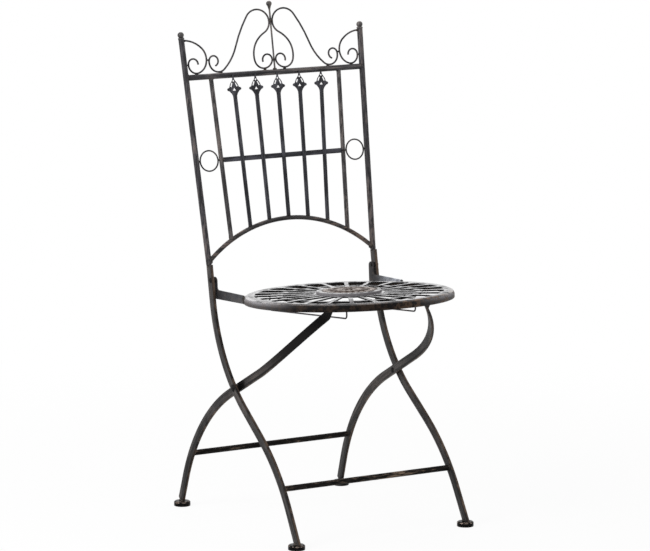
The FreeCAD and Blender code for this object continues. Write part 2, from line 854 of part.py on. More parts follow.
def seat_casting():
    """Rim, straps, hoop and boss of the seat as one casting."""
    edge = SEAT_R - RIM_ROUND
    inner_r = SEAT_R - SKIRT_T
    middle_turn = math.radians(45)
    rounding = (edge + RIM_ROUND * math.cos(middle_turn), RIM_ROUND * (math.sin(middle_turn) - 1))
    pan = many_sided([
        (inner_r, -PLATE_T),
        (inner_r, -SKIRT_H),
        (SEAT_R, -SKIRT_H),
        (SEAT_R, -RIM_ROUND),
        rounding,
        (edge, 0),
        (BOSS_R, 0),
        (BOSS_R, BOSS_H - BOSS_CHAMFER),
        (BOSS_R - BOSS_CHAMFER, BOSS_H),
        (MEDALLION_R + PRESSED_FIT, BOSS_H),
        (MEDALLION_R + PRESSED_FIT, 0),
    ], SEAT_SIDES)
    outer_r = HOOP_R + HOOP_W / 2
    inner_r = HOOP_R - HOOP_W / 2
    hoop = many_sided([(outer_r, HOOP_LOW), (outer_r, HOOP_TOP)], STRAPS)
    hoop = hoop.cut(many_sided([(inner_r, HOOP_LOW), (inner_r, HOOP_TOP)], STRAPS))
    return middle_piece(pan.cut(seat_slots()).fuse(hoop).removeSplitter())


def seat_medallion():
    """Round ornament that is let into the boss."""
    depth = MEDALLION_CHAMFER / 2
    return many_sided([
        (MEDALLION_R, WELD_GAP),
        (MEDALLION_R, MEDALLION_TOP - MEDALLION_CHAMFER),
        (MEDALLION_R - MEDALLION_CHAMFER, MEDALLION_TOP),
        (MEDALLION_GROOVE_R, MEDALLION_TOP),
        (MEDALLION_GROOVE_R - MEDALLION_CHAMFER, MEDALLION_TOP - depth),
        (MEDALLION_CENTRE_R, MEDALLION_TOP + depth),
    ], MEDALLION_SIDES)


def hinge_bracket():
    """Plate with an ear on the seat pivot and an arm forward to the rim."""
    pivot = SEAT.inverse().multVec(seat_pivot())
    ear_r = EAR_W / 2
    ear_v = pivot.y + EAR_BACK
    ear_h = pivot.z + EAR_RISE - ear_r
    rear_v = ear_v + ear_r
    inner_v = ear_v - ear_r
    outer_x = bracket_outer_x()
    rim_v = math.sqrt(SEAT_R ** 2 - outer_x ** 2)
    corners = [
        Vector(inner_v, ear_h, 0),
        Vector(inner_v, ARM_TOP_REAR_H, 0),
        Vector(rim_v, ARM_TOP_FRONT_H, 0),
        Vector(rim_v, ARM_LOW_FRONT_H, 0),
        Vector(rear_v, ARM_LOW_REAR_H, 0),
        Vector(rear_v, ear_h, 0),
    ]
    edges = [Part.makeLine(a, b) for a, b in zip(corners, corners[1:])]
    edges.append(Part.Arc(corners[-1], Vector(ear_v, ear_h + ear_r, 0), corners[0]).toShape())
    plate = side_prism(Part.Face(Part.Wire(edges)), outer_x - BRACKET_T, outer_x)
    rounded = []
    for edge in plate.Edges:
        middle = edge.CenterOfMass
        rear_low = abs(middle.y - rear_v) < 1e-6 and abs(middle.z - ARM_LOW_REAR_H) < 1e-6
        inner_top = abs(middle.y - inner_v) < 1e-6 and abs(middle.z - ARM_TOP_REAR_H) < 1e-6
        if rear_low or inner_top:
            rounded.append(edge)
    plate = plate.makeFillet(BRACKET_ROUND, rounded)
    seat_room = Part.makeCylinder(SEAT_R + WELD_GAP, 2 * BEYOND, Vector(0, 0, -BEYOND))
    plate = placed(plate.cut(seat_room), SEAT)
    return middle_piece(plate.cut(pin_hole(seat_pivot(), SEAT_PIN_D + 2 * RUNNING_FIT)))


def guide_route():
    """Side view of a guide wire in the seat's own (v, h), from the front end to the rear end."""
    front_bend = GUIDE_BEND * math.tan(math.radians((90 - GUIDE_SLOPE) / 2))
    rear_bend = GUIDE_BEND * math.tan(math.radians((90 + GUIDE_SLOPE) / 2))
    route = Route((GUIDE_FRONT_V, HOOP_LOW - WELD_GAP), 270)
    route.run_to(1, GUIDE_FRONT_H + front_bend)
    route.bend(GUIDE_BEND, 90 - GUIDE_SLOPE)
    route.run(GUIDE_LENGTH - front_bend - rear_bend)
    route.bend(GUIDE_BEND, 90 + GUIDE_SLOPE)
    return route.run_to(1, -PLATE_T - WELD_GAP)


def guide_wire():
    wire = bent_wire(guide_route(), GUIDE_WIRE, WIRE_SIDES)
    wire = placed(wire, SIDE_VIEW)
    wire.translate(X_AXIS * GUIDE_X)
    return placed(wire, SEAT)


def slide_bar():
    centre = slide_point()
    reach = X_AXIS * (inward_route().here.x - FLAT_T / 2 - SLIDE_END_PLAY)
    return rod(centre - reach, centre + reach, SLIDE_BAR_D)


def write(name, shape):
    shape.exportStep(os.path.join("parts", name + ".step"))


def write_pair(name, shape):
    """Write the sitter's left piece and its mirror image as two nodes."""
    write("left_" + name, shape)
    write("right_" + name, mirrored(shape))


def main():
    os.makedirs("parts", exist_ok=True)
    write_pair("upright", placed(upright(), BACK))
    write("knobs", both_sides(placed(knob(), BACK)))
    write("top_rail", placed(top_rail(), BACK))
    write("back_arch", placed(back_arch(), BACK))
    write("mid_rail", placed(mid_rail(), BACK))
    write_pair("outer_baluster", placed(outer_baluster(), BACK))
    for number, index in enumerate(range(-2, 3), start=1):
        write("spear_%d" % number, placed(spear(index), BACK))
    write("side_rings", both_sides(placed(side_ring(), BACK)))
    write("crest_scrolls", both_sides(placed(crest_scroll(), BACK)))
    write("corner_scrolls", both_sides(placed(corner_scroll(), BACK)))
    write("crest_rod", placed(crest_rod(), BACK))
    write_pair("front_leg", front_leg())
    write("front_cross_bar", front_cross_bar())
    write("front_feet", front_feet())
    write("scissor_rivets", scissor_rivets())
    write("scissor_spacers", scissor_spacers())
    write("seat_rivets", seat_rivets())
    write("seat_spacers", seat_spacers())
    write_pair("rear_leg", rear_leg())
    write("rear_cross_bar", rear_cross_bar())
    write("rear_feet", rear_feet())
    write("seat_casting", placed(seat_casting(), SEAT))
    write("seat_medallion", placed(seat_medallion(), SEAT))
    write_pair("hinge_bracket", hinge_bracket())
    write_pair("guide_wire", guide_wire())
    write("slide_bar", slide_bar())


main()
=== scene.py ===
import math

import bmesh
import bpy
import numpy as np
from mathutils import Matrix, Vector, noise


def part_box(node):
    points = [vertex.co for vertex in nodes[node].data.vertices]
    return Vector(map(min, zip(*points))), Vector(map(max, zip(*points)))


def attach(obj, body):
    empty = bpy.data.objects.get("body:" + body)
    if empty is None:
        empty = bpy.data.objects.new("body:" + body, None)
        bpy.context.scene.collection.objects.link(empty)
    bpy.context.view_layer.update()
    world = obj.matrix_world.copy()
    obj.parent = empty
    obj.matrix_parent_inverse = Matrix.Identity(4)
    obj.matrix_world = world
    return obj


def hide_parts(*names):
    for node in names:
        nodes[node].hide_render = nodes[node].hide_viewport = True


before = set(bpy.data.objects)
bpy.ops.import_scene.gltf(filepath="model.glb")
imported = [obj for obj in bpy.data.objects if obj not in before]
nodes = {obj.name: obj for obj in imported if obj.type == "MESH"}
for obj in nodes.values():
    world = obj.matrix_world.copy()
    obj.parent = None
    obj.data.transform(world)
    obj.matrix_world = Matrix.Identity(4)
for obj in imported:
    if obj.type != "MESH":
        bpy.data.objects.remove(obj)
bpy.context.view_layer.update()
MM = 0.001


# Front legs: two flat iron bars forged to a long S in the side view, welded below the ends of
# the back's uprights. Charcoal paint, dry-brushed lengthwise with a paler brown, and rubbed
# through on the arrises and the narrow edges.

LEG_ARRIS = 0.9 * MM
SHARP = math.radians(38)
LEG_CHARCOAL = (0.05, 0.0465, 0.046)
NEAR_BLACK = (0.009, 0.008, 0.008)
BRONZE = (0.135, 0.092, 0.066)
ALONG_LEG = (210, 210, 7)
SIDEWAYS = Vector((1, 0, 0))
CAD_SEAM = 1e-6
SQUARE_ON = 0.6
BEND_ORDER = 11


class Value:
    """A shader socket that can stand in a sum."""

    def __init__(self, finish, socket):
        self.finish = finish
        self.socket = socket

    def math(self, operation, *terms):
        inputs = dict(enumerate(terms))
        return self.finish.node("ShaderNodeMath", {"operation": operation}, inputs)

    def __add__(self, other):
        return self.math("ADD", self, other)

    def __sub__(self, other):
        return self.math("SUBTRACT", self, other)

    def __rsub__(self, other):
        return self.math("SUBTRACT", other, self)

    def __mul__(self, other):
        return self.math("MULTIPLY", self, other)

    def most(self, other):
        return self.math("MAXIMUM", self, other)

    __radd__ = __add__
    __rmul__ = __mul__


class Finish:
    """The look of one surface: a material, and the nodes that it is built from."""

    def __init__(self, name, owner=None, shader="Principled BSDF"):
        self.material = owner or bpy.data.materials.new(name)
        self.material.use_nodes = True
        self.tree = self.material.node_tree
        self.surface = self.tree.nodes[shader]

    def node(self, kind, settings=None, inputs=None, output=0):
        """Any shader node: its settings first, then the values or links of its sockets."""
        made = self.tree.nodes.new(kind)
        for key, value in (settings or {}).items():
            setattr(made, key, value)
        for key, value in (inputs or {}).items():
            self.feed(made.inputs[key], value)
        return Value(self, made.outputs[output])

    def feed(self, socket, value):
        if isinstance(value, Value):
            self.tree.links.new(value.socket, socket)
        else:
            socket.default_value = value

    def give(self, **looks):
        """Set the surface's own sockets, such as Base_Color or Roughness."""
        for key, value in looks.items():
            self.feed(self.surface.inputs[key.replace("_", " ")], value)
        return self

    def place(self, scale=(1, 1, 1), shift=(0, 0, 0), bar=False):
        """Object coordinates, or those that follow a bent bar, stretched and shifted."""
        if bar:
            spot = self.node("ShaderNodeAttribute", {"attribute_name": "bar"}, None, "Vector")
        else:
            spot = self.node("ShaderNodeTexCoord", output="Object")
        inputs = {"Vector": spot, "Scale": scale, "Location": shift}
        return self.node("ShaderNodeMapping", None, inputs)

    def along(self, axis):
        """One of the three object coordinates, in metres."""
        parts = {"Vector": self.node("ShaderNodeTexCoord", output="Object")}
        return self.node("ShaderNodeSeparateXYZ", None, parts, axis)

    def noise(self, place, detail, roughness):
        inputs = {"Vector": place, "Scale": 1.0, "Detail": detail, "Roughness": roughness}
        return self.node("ShaderNodeTexNoise", None, inputs, "Fac")

    def between(self, value, low, high):
        """0 where the value is low, 1 where it is high, and a smooth step between them."""
        inputs = {"Value": value, "From Min": low, "From Max": high}
        return self.node("ShaderNodeMapRange", {"interpolation_type": "SMOOTHSTEP"}, inputs)

    def blend(self, mask, first, second):
        """The first colour where the mask is 0, the second where it is 1."""
        return self.node("ShaderNodeMix", {"data_type": "RGBA"}, {0: mask, 6: first, 7: second}, 2)

    def bump(self, height, distance, strength=1.0):
        inputs = {"Height": height, "Distance": distance, "Strength": strength}
        return self.node("ShaderNodeBump", None, inputs)

    def mark(self, name):
        """A value that the mesh itself carries."""
        return self.node("ShaderNodeAttribute", {"attribute_name": name}, None, "Fac")


def rgb(colour, strength=1.0):
    """A colour for a socket, made darker or paler by its strength."""
    return (*(strength * part for part in colour), 1.0)


def brushed_paint(
    name, stretch, paint, bronze=BRONZE, share=0.3, roughness=0.45, shine=0.25,
    rubbed=0.0, shaded=None, shade_spot=None, bar=False,
):
    """Dark satin paint dragged along the bar: dark lines, a paler body and bronze streaks.

    Share is how strongly the streaks show, and rubbed how much brown shows on the marked
    arrises and narrow faces, which are else near black. Shaded gives two heights in metres
    between which the coat turns near black as painted shade, and the spot's (y, z) gives a
    near-black spot of painted shade round a rivet. With bar, the lines follow the bar's own bends."""
    finish = Finish(name)
    drag = finish.noise(finish.place(stretch, bar=bar), 6.0, 0.62)
    patch = finish.noise(finish.place((11, 11, 11), (3, 1, 2)), 3.0, 0.5)
    ragged = finish.noise(finish.place((70, 70, 40)), 5.0, 0.65)
    body = finish.between(drag * 0.75 + ragged * 0.25, 0.42, 0.56)
    streaks = finish.between(drag * 0.7 + patch * 0.5, 0.6, 0.74) * share
    coat = finish.blend(finish.between(patch, 0.38, 0.62), rgb(paint, 0.72), rgb(paint, 1.3))
    colour = finish.blend(body, rgb(paint, 0.28), coat)
    colour = finish.blend(streaks, colour, rgb(bronze))
    if rubbed:
        shown = finish.between(drag * 0.55 + ragged * 0.45, 0.42, 0.6) * rubbed
        edge = finish.blend(shown, rgb(NEAR_BLACK), rgb(bronze))
        colour = finish.blend(finish.mark("arris"), colour, edge)
    painted_shade = 0.0
    # Painted shade: near black between the two heights.
    if shaded:
        painted_shade = finish.between(finish.along("Z"), *shaded)
        colour = finish.blend(painted_shade, colour, rgb(NEAR_BLACK))
    # Painted shade: a near-black spot round the given point.
    if shade_spot:
        away = finish.place((0, 1, 1), (0, -shade_spot[0], -shade_spot[1]))
        away = finish.node("ShaderNodeVectorMath", {"operation": "LENGTH"}, {0: away}, "Value")
        spot_shade = 1 - finish.between(away + 0.01 * ragged, 16 * MM, 25 * MM)
        colour = finish.blend(spot_shade, colour, rgb(NEAR_BLACK, 1 / 3))
    grain = finish.noise(finish.place((420, 420, 420)), 2.0, 0.5)
    finish.give(
        Base_Color=colour,
        Roughness=roughness + 0.12 * grain - 0.08 * body + 0.25 * painted_shade,
        Metallic=0.2 * streaks,
        Specular_IOR_Level=shine,
        Normal=finish.bump(drag * 0.7 + grain * 0.3, 0.0005, 0.7),
    )
    return finish.material


def piece(name, mesh, body, slot, material, *replaced):
    """Finish a bmesh as an object of the chair, riding on its body."""
    bmesh.ops.recalc_face_normals(mesh, faces=mesh.faces)
    for face in mesh.faces:
        face.smooth = True
    for edge in mesh.edges:
        edge.smooth = len(edge.link_faces) < 2 or edge.calc_face_angle() < SHARP
    data = bpy.data.meshes.new(name)
    mesh.to_mesh(data)
    mesh.free()
    data.materials.append(material)
    made = bpy.data.objects.new(name, data)
    bpy.context.scene.collection.objects.link(made)
    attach(made, body)
    if replaced:
        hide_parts(*replaced)


def worn_copy(node, width, broad=None, segments=3):
    """A copy of a node's solid with its arrises worn round, and marked for the paint.

    The mark also covers the narrow faces, where broad gives the way the broad ones look. A
    face counts as broad where it stands at least SQUARE_ON to that way."""
    mesh = bmesh.new()
    mesh.from_mesh(nodes[node].data)
    bmesh.ops.remove_doubles(mesh, verts=mesh.verts, dist=CAD_SEAM)
    flat = math.radians(1)
    bmesh.ops.dissolve_limit(mesh, angle_limit=flat, verts=mesh.verts, edges=mesh.edges)
    arrises = []
    for edge in mesh.edges:
        if len(edge.link_faces) == 2 and edge.calc_face_angle() > SHARP:
            arrises.append(edge)
    worn = bmesh.ops.bevel(
        mesh,
        geom=arrises,
        offset=width,
        offset_type="OFFSET",
        affect="EDGES",
        segments=segments,
        profile=0.5,
        material=-1,
        clamp_overlap=True,
    )
    rounded = set(worn["faces"])
    mark = mesh.verts.layers.float.new("arris")
    for vert in mesh.verts:
        kept = [face for face in vert.link_faces if face not in rounded]
        if broad:
            kept = [face for face in kept if abs(face.normal.dot(broad)) > SQUARE_ON]
        vert[mark] = 0.0 if kept else 1.0
    return mesh


def follow_bar(mesh):
    """Mark each point with its place in the bar's section, for paint brushed along a bend.

    The bar's middle is taken as a smooth curve of BEND_ORDER, fitted over the height."""
    spots = np.array([vert.co for vert in mesh.verts])
    fit = np.polynomial.Polynomial.fit
    middle = [fit(spots[:, 2], spots[:, axis], BEND_ORDER) for axis in (0, 1)]
    mark = mesh.verts.layers.float_vector.new("bar")
    for vert in mesh.verts:
        height = vert.co.z
        vert[mark] = (vert.co.x - middle[0](height), vert.co.y - middle[1](height), height)
    return mesh


leg_paint = brushed_paint(
    "leg_paint", ALONG_LEG, LEG_CHARCOAL, share=0.22, rubbed=0.9, shine=0.13, bar=True
)
for side in ("left", "right"):
    node = side + "_front_leg"
    mesh = follow_bar(worn_copy(node, LEG_ARRIS, SIDEWAYS))
    piece(side + "_front_bar", mesh, "back_frame", "leg_paint", leg_paint, node)


# Cross bars of the two leg frames: round bar with a hammered skin, nearly black, with brown
# where the hammer marks were rubbed. Each is welded between the inner faces of its two legs.

cross_paint = brushed_paint(
    "cross_bar_paint", (48, 290, 290), (0.019, 0.0165, 0.0155),
    bronze=(0.2, 0.145, 0.105), share=0.95, shine=0.04,
)


def hammered(mesh, depth, scale=160):
    """Push the skin of a bar in and out a little, as a hammer leaves it."""
    bmesh.ops.recalc_face_normals(mesh, faces=mesh.faces)
    mesh.normal_update()
    for vert in mesh.verts:
        vert.co += vert.normal * depth * (noise.noise(vert.co * scale) - 0.5)


def round_bar(node, rings=60, sides=20, depth=0.12 * MM):
    """A round bar along X in a node's place, with a hammered skin and flat ends."""
    low, high = (Vector(corner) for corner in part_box(node))
    middle = (low + high) / 2
    radius = (high.z - low.z) / 2
    mesh = bmesh.new()
    stand = Matrix.Translation((low.x, middle.y, middle.z)) @ Matrix.Rotation(math.pi / 2, 4, "Y")
    bmesh.ops.create_circle(mesh, cap_ends=True, segments=sides, radius=radius, matrix=stand)
    edges = mesh.edges[:]
    step = Vector(((high.x - low.x) / rings, 0, 0))
    for _ in range(rings):
        made = bmesh.ops.extrude_edge_only(mesh, edges=edges)
        verts = {part for part in made["geom"] if isinstance(part, bmesh.types.BMVert)}
        bmesh.ops.translate(mesh, verts=list(verts), vec=step)
        edges = [e for e in mesh.edges if e.verts[0] in verts and e.verts[1] in verts]
    bmesh.ops.contextual_create(mesh, geom=edges)
    hammered(mesh, depth)
    return mesh


for node, body in (("front_cross_bar", "back_frame"), ("rear_cross_bar", "rear_legs")):
    piece(node + "_round", round_bar(node), body, "cross_bar_paint", cross_paint, node)


# Feet: iron discs turned with an eased rim and welded under the legs' ends. Thick glossy black
# paint, chipped to brown in places, with pale bronze painted on the rims as highlights.

foot_paint = Finish("foot_paint")
chips = foot_paint.noise(foot_paint.place((120, 120, 120)), 4.0, 0.6)
chipped = foot_paint.between(chips, 0.56, 0.68)
# Pale bronze on the rims: painted highlights.
rim_highlights = foot_paint.between(chips, 0.42, 0.55) * foot_paint.mark("arris")
black = foot_paint.blend(chipped * 0.6, rgb((0.003, 0.0028, 0.0028)), rgb((0.08, 0.055, 0.043)))
foot_paint.give(
    Base_Color=foot_paint.blend(rim_highlights * 0.9, black, rgb((0.42, 0.33, 0.28))),
    Roughness=0.1 + 0.2 * chips,
    Metallic=0.4 * rim_highlights,
    Specular_IOR_Level=0.05,
    Normal=foot_paint.bump(chips, 0.0008, 0.8),
)
for node, body in (("front_feet", "back_frame"), ("rear_feet", "rear_legs")):
    mesh = worn_copy(node, 0.6 * MM)
    piece(node + "_turned", mesh, body, "foot_paint", foot_paint.material, node)


# Rear legs: flat bars like the front ones, inside them, bent inwards under the seat. The same
# paint, but the right one follows the photograph's dark tones with painted shade: near black
# at its top, under the seat, and in a spot round the scissor rivet.

RIVET_SHADE_SPOT = (37 * MM, 271 * MM)

# Painted shade on the right leg: near black at its top and round the scissor rivet.
dark_end_paint = brushed_paint(
    "dark_end_paint", ALONG_LEG, LEG_CHARCOAL, share=0.22, rubbed=0.9, shine=0.08,
    shaded=(0.29, 0.37), shade_spot=RIVET_SHADE_SPOT, bar=True,
)
for side, paint in (("left", leg_paint), ("right", dark_end_paint)):
    node = side + "_rear_leg"
    mesh = follow_bar(worn_copy(node, LEG_ARRIS, SIDEWAYS))
    piece(side + "_rear_bar", mesh, "rear_legs", "leg_paint", paint, node)


# Rivets and spacers of the scissor and seat pivots: near-black steel. The rivets are turned
# with a domed head outside and are peened to a low dome inside. Their sizes are the pin's
# diameter, the head's diameter and the head's height in millimetres.

RIVET_SIZES = {"scissor_rivets": (7.0, 14.0, 3.0), "seat_rivets": (6.0, 10.0, 2.6)}
ONE_POINT = 1e-7

rivet_paint = Finish("rivet_paint")
pits = rivet_paint.noise(rivet_paint.place((500, 500, 500)), 3.0, 0.5)
rivet_paint.give(
    Base_Color=rivet_paint.blend(pits, rgb((0.004, 0.0035, 0.0035)), rgb((0.012, 0.011, 0.01))),
    Roughness=0.3 + 0.2 * pits,
    Specular_IOR_Level=0.1,
    Normal=rivet_paint.bump(pits, 0.0003, 0.5),
)


def lathe(mesh, profile, place, steps=32):
    """Turn a profile of (radius, height) points about Z, and put the shape in its place."""
    corners = [mesh.verts.new((radius, 0, height)) for radius, height in profile]
    line = [mesh.edges.new(pair) for pair in zip(corners, corners[1:])]
    bmesh.ops.spin(
        mesh, geom=corners + line, cent=(0, 0, 0), axis=(0, 0, 1), angle=math.tau,
        steps=steps, use_merge=True, use_duplicate=False,
    )
    bmesh.ops.transform(mesh, matrix=place, verts=mesh.verts)
    bmesh.ops.remove_doubles(mesh, verts=mesh.verts, dist=ONE_POINT)


def mirror_over(mesh):
    """Add the same shape on the other side of the chair."""
    whole = mesh.verts[:] + mesh.edges[:] + mesh.faces[:]
    bmesh.ops.mirror(mesh, geom=whole, matrix=Matrix(), merge_dist=ONE_POINT, axis="X")


def dome(radius, height, start=0.0, points=6):
    """Profile of a low dome that starts at this height."""
    turns = [math.pi / 2 * i / points for i in range(points + 1)]
    return [(radius * math.cos(turn), start + height * math.sin(turn)) for turn in turns]


for node, (pin_d, head_d, head_h) in RIVET_SIZES.items():
    low, high = (Vector(corner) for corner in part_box(node))
    inner = min(vert.co.x for vert in nodes[node].data.vertices if vert.co.x > 0) / MM
    outer = high.x / MM - head_h
    centre = (low + high) / 2
    mesh = bmesh.new()
    peened = [(pin_d / 2, 0), *((r, -h) for r, h in dome((pin_d + head_d) / 4, head_h / 2))]
    inner += head_h / 2
    head = [(pin_d / 2, outer - inner), *dome(head_d / 2, head_h, outer - inner)]
    profile = [*reversed(peened), *head]
    stand = (
        Matrix.Translation((inner * MM, centre.y, centre.z))
        @ Matrix.Rotation(math.pi / 2, 4, "Y")
        @ Matrix.Scale(MM, 4)
    )
    lathe(mesh, profile, stand, steps=28)
    mirror_over(mesh)
    piece(node + "_domed", mesh, "back_frame", "rivet_steel", rivet_paint.material, node)
for node in ("scissor_spacers", "seat_spacers"):
    nodes[node].material_slots[0].material = rivet_paint.material


# Uprights and top rail: solid round bar, the rail welded between the uprights. Charcoal paint
# with bronze streaks along the uprights, and a cooler, more even coat on the rail.

upright_paint = brushed_paint(
    "upright_paint", (270, 270, 9), (0.07, 0.067, 0.074),
    bronze=(0.17, 0.135, 0.118), share=0.75, shine=0.18,
)
rail_paint = brushed_paint(
    "rail_paint", (10, 290, 290), (0.062, 0.06, 0.067),
    bronze=(0.17, 0.145, 0.133), share=0.85, shine=0.18,
)
for side in ("left", "right"):
    mesh = worn_copy(side + "_upright", 0.5 * MM)
    piece(side + "_post", mesh, "back_frame", "upright_paint", upright_paint, side + "_upright")
mesh = worn_copy("top_rail", 0.3 * MM)
piece("top_rail_bar", mesh, "back_frame", "rail_paint", rail_paint, "top_rail")


# Balls on the ends of the uprights: turned from iron with a rounded collar below, welded on
# and painted pewter grey. Places on the back are in millimetres along its leaning plane.

BACK_AT_FLOOR = 52.1 * MM
BACK_LEAN = math.radians(80)
BACK_PLANE = (
    Matrix.Translation((0, BACK_AT_FLOOR, 0))
    @ Matrix.Rotation(BACK_LEAN, 4, "X")
    @ Matrix.Scale(MM, 4)
)
POST_TOP = Vector((199.7, 926.0, 0))
POST_FOOT = Vector((184.0, 496.0, 0))
BALL_R = 6.15
BALL_CENTRE = 8.3
COLLAR = [(0, 0.05), (5.7, 0.05), (6.0, 0.5), (6.15, 1.3), (6.1, 2.2), (5.7, 2.9), (5.1, 3.3)]

knob_paint = brushed_paint(
    "knob_paint", (60, 60, 60), (0.085, 0.078, 0.078),
    bronze=(0.17, 0.14, 0.12), share=0.5, roughness=0.35, shine=0.4,
)


def ball(radius, centre, first, last, points=12):
    """Profile of a ball between two latitudes in degrees."""
    turns = [math.radians(first + (last - first) * i / points) for i in range(points + 1)]
    return [(radius * math.cos(turn), centre + radius * math.sin(turn)) for turn in turns]


mesh = bmesh.new()
lean = math.atan2(POST_TOP.x - POST_FOOT.x, POST_TOP.y - POST_FOOT.y)
stand = (
    BACK_PLANE
    @ Matrix.Translation(POST_TOP)
    @ Matrix.Rotation(-lean, 4, "Z")
    @ Matrix.Rotation(-math.pi / 2, 4, "X")
)
lathe(mesh, COLLAR + ball(BALL_R, BALL_CENTRE, first=-48, last=90), stand)
mirror_over(mesh)
piece("post_balls", mesh, "back_frame", "knob_paint", knob_paint, "knobs")


# Arch under the spears: one round bar bent to a wide arc and welded between the uprights.
# Charcoal paint with bronze streaks across the back.

ARCH_BAR = 8.5
ARCH_START = (184.168, 500.6)
ARCH_R = 273.8
ARCH_HALF_TURN = 42.27


class Wire:
    """Round wire laid out flat: straight runs and bends, as it is pulled round a jig.

    Headings and turns are in degrees."""

    def __init__(self, mesh, start, heading, diameter, sides=12):
        self.mesh = mesh
        self.here = Vector((*start, 0))
        self.heading = math.radians(heading)
        stand = (
            Matrix.Translation(self.here)
            @ Matrix.Rotation(self.heading, 4, "Z")
            @ Matrix.Rotation(math.pi / 2, 4, "Y")
        )
        made = bmesh.ops.create_circle(
            mesh, cap_ends=True, segments=sides, radius=diameter / 2, matrix=stand
        )
        self.hold(made["verts"])

    def hold(self, verts):
        """Keep the ring of edges that the next run or bend starts from."""
        self.verts = list(verts)
        ring = set(verts)
        near = dict.fromkeys(edge for vert in verts for edge in vert.link_edges)
        self.ring = [edge for edge in near if edge.verts[0] in ring and edge.verts[1] in ring]

    def run(self, length):
        made = bmesh.ops.extrude_edge_only(self.mesh, edges=self.ring)
        verts = [part for part in made["geom"] if isinstance(part, bmesh.types.BMVert)]
        way = Vector((math.cos(self.heading), math.sin(self.heading), 0)) * length
        bmesh.ops.translate(self.mesh, verts=verts, vec=way)
        self.here = self.here + way
        self.hold(verts)
        return self

    def bend(self, radius, turn, step=6.0):
        """Bend by a turn, to the left where it is positive, with a ring at least every step."""
        side = math.copysign(radius, turn)
        centre = self.here + Vector((-math.sin(self.heading), math.cos(self.heading), 0)) * side
        made = bmesh.ops.spin(
            self.mesh, geom=self.verts + self.ring, cent=centre, axis=(0, 0, 1),
            angle=math.radians(turn), steps=max(2, math.ceil(abs(turn) / step)),
            use_merge=False, use_duplicate=False,
        )
        verts = [part for part in made["geom_last"] if isinstance(part, bmesh.types.BMVert)]
        spun = Matrix.Rotation(math.radians(turn), 3, "Z")
        self.here = centre + spun @ (self.here - centre)
        self.heading += math.radians(turn)
        self.hold(verts)
        return self

    def cut(self):
        """Close the wire's end."""
        bmesh.ops.contextual_create(self.mesh, geom=self.ring)


arch_paint = brushed_paint(
    "arch_paint", (22, 210, 210), (0.064, 0.059, 0.06),
    bronze=(0.17, 0.12, 0.096), share=0.8, shine=0.18,
)
mesh = bmesh.new()
arch = Wire(mesh, ARCH_START, 180 - ARCH_HALF_TURN, ARCH_BAR, sides=20)
arch.bend(ARCH_R, 2 * ARCH_HALF_TURN, step=1.5)
arch.cut()
bmesh.ops.transform(mesh, matrix=BACK_PLANE, verts=mesh.verts)
piece("arch_bar", mesh, "back_frame", "rail_paint", arch_paint, "back_arch")


# Outer balusters: thin round bars welded upright between the arch and the top rail. Brown-grey
# paint brushed lengthwise.

baluster_paint = brushed_paint(
    "baluster_paint", (290, 290, 9), (0.09, 0.085, 0.088),
    bronze=(0.16, 0.132, 0.12), share=0.7, roughness=0.46, shine=0.2,
)
for side in ("left", "right"):
    node = side + "_outer_baluster"
    mesh = worn_copy(node, 0.25 * MM)
    piece(side + "_thin_post", mesh, "back_frame", "baluster_paint", baluster_paint, node)


# Spears and the flat middle rail: blades cut from flat bar, with a pierced head, standing on
# the arch and crossing the rail's front. An even blue-grey charcoal coat.

spear_paint = brushed_paint(
    "spear_paint", (190, 190, 9), (0.056, 0.057, 0.069),
    bronze=(0.075, 0.072, 0.078), share=0.4, shine=0.2,
)
flat_paint = brushed_paint(
    "flat_paint", (9, 190, 190), (0.054, 0.055, 0.069),
    bronze=(0.075, 0.07, 0.075), share=0.3, shine=0.2,
)
for number in range(1, 6):
    node = "spear_%d" % number
    mesh = worn_copy(node, 0.3 * MM, segments=2)
    piece("spear_blade_%d" % number, mesh, "back_frame", "spear_paint", spear_paint, node)
mesh = worn_copy("mid_rail", 0.4 * MM, segments=2)
piece("mid_rail_flat", mesh, "back_frame", "rail_paint", flat_paint, "mid_rail")


# Side rings: wire bent to a ring and closed, welded between each upright and its baluster.
# Satin grey paint, as on the chair's other wire.

RING_AT = (163.23, 692.6)
RING_R = 19.5
RING_WIRE = 3.0

wire_paint = brushed_paint(
    "wire_paint", (60, 60, 60), (0.056, 0.053, 0.058),
    bronze=(0.12, 0.092, 0.08), share=0.4, roughness=0.42, shine=0.2,
)
mesh = bmesh.new()
stand = Matrix.Translation((RING_R, 0, 0)) @ Matrix.Rotation(math.pi / 2, 4, "X")
bmesh.ops.create_circle(mesh, segments=12, radius=RING_WIRE / 2, matrix=stand)
bmesh.ops.spin(
    mesh, geom=mesh.verts[:] + mesh.edges[:], cent=(0, 0, 0), axis=(0, 0, 1),
    angle=math.tau, steps=60, use_merge=True, use_duplicate=False,
)
bmesh.ops.translate(mesh, verts=mesh.verts, vec=(*RING_AT, 0))
mirror_over(mesh)
bmesh.ops.transform(mesh, matrix=BACK_PLANE, verts=mesh.verts)
piece("ring_wires", mesh, "back_frame", "wire_paint", wire_paint, "side_rings")


# Crest: two scrolls that meet in a heart under the bud, and a small scroll in each corner,
# all of round wire bent cold, seated on the top rail and welded where they touch. Each bend
# is a radius in millimetres and a turn in degrees.

CREST_WIRE = 3.5
HEART_START = (130.4, 872.3)
HEART_HEADING = 161.6
HEART_BENDS = [
    (9.8, -240.1), (19.5, -142.2), (102.8, -28.6), (258.3, 14.2), (27.5, 100.2),
    (23.1, 106.8), (61.0, -17.7), (45.9, -55.9), (20.1, -142.4), (10.6, -225.5),
]
CORNER_START = (193.6, 923.6)
CORNER_HEADING = 183.4
CORNER_BENDS = [(56.0, 41.2), (29.4, 63.1), (26.0, 56.3), (16.6, 114.0), (10.5, 176.7)]

